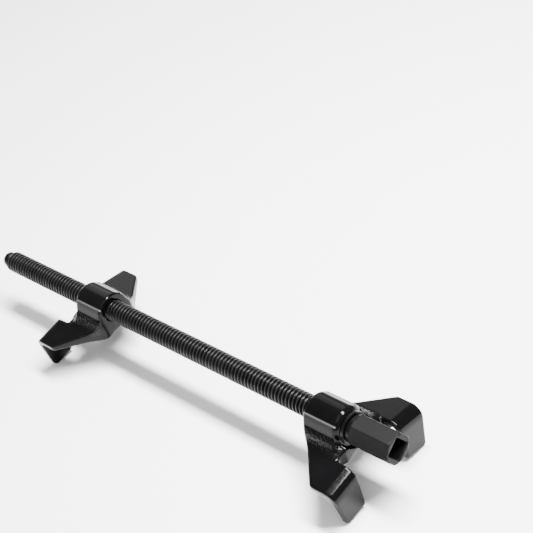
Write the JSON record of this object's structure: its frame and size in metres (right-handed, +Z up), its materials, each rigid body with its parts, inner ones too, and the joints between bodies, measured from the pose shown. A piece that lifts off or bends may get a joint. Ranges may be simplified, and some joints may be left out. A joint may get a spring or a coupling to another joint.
{
  "type": "coil spring compressor",
  "caption": "Screw-driven spring compressor: threaded rod with a hex drive head, a captive double-claw jaw at the head and a matching jaw that travels on the thread.",
  "frame": {"origin": "on the floor under the middle of the overall length, at the centre of the width, with the four claw tips standing on z = 0", "axes": "+X along the screw towards the drive hex, +Z up from the claw tips to the screw, +Y across the claws"},
  "size_m": [0.401, 0.089, 0.0562],
  "materials": {
    "screw_black": "black oxide, semi-gloss",
    "hex_grey": "matte dark grey",
    "jaw_paint": "gloss black paint",
    "weld_paint": "gloss black paint over rough weld"
  },
  "bodies": {
    "head_jaw": {"head_barrel": "jaw_paint", "head_saddle": "jaw_paint", "head_claw_near": "jaw_paint", "head_claw_far": "jaw_paint", "head_weld_near": "weld_paint", "head_weld_far": "weld_paint"},
    "spindle": {"threaded_rod": "screw_black", "drive_hex": "hex_grey", "shoulder_collar": "hex_grey"},
    "washer": {"thrust_washer": "screw_black"},
    "travel_jaw": {"travel_barrel": "jaw_paint", "travel_saddle": "jaw_paint", "travel_claw_near": "jaw_paint", "travel_claw_far": "jaw_paint", "travel_weld_near": "weld_paint", "travel_weld_far": "weld_paint"}
  },
  "joints": [
    {"name": "spindle_turn", "type": "hinge", "parent": "head_jaw", "child": "spindle", "pos_m": [0, 0, 0.043], "axis": [1, 0, 0], "range_deg": [-21540, 9630]},
    {"name": "jaw_travel", "type": "slide", "parent": "head_jaw", "child": "travel_jaw", "axis": [1, 0, 0], "range_m": [-0.085, 0.19]},
    {"name": "washer_spin", "type": "hinge", "parent": "spindle", "child": "washer", "pos_m": [0.1634, 0, 0.043], "axis": [1, 0, 0], "continuous": true}
  ],
  "couplings": [
    {"joint": "jaw_travel", "follows": "spindle_turn", "m_per_rad": -0.00050532}
  ]
}
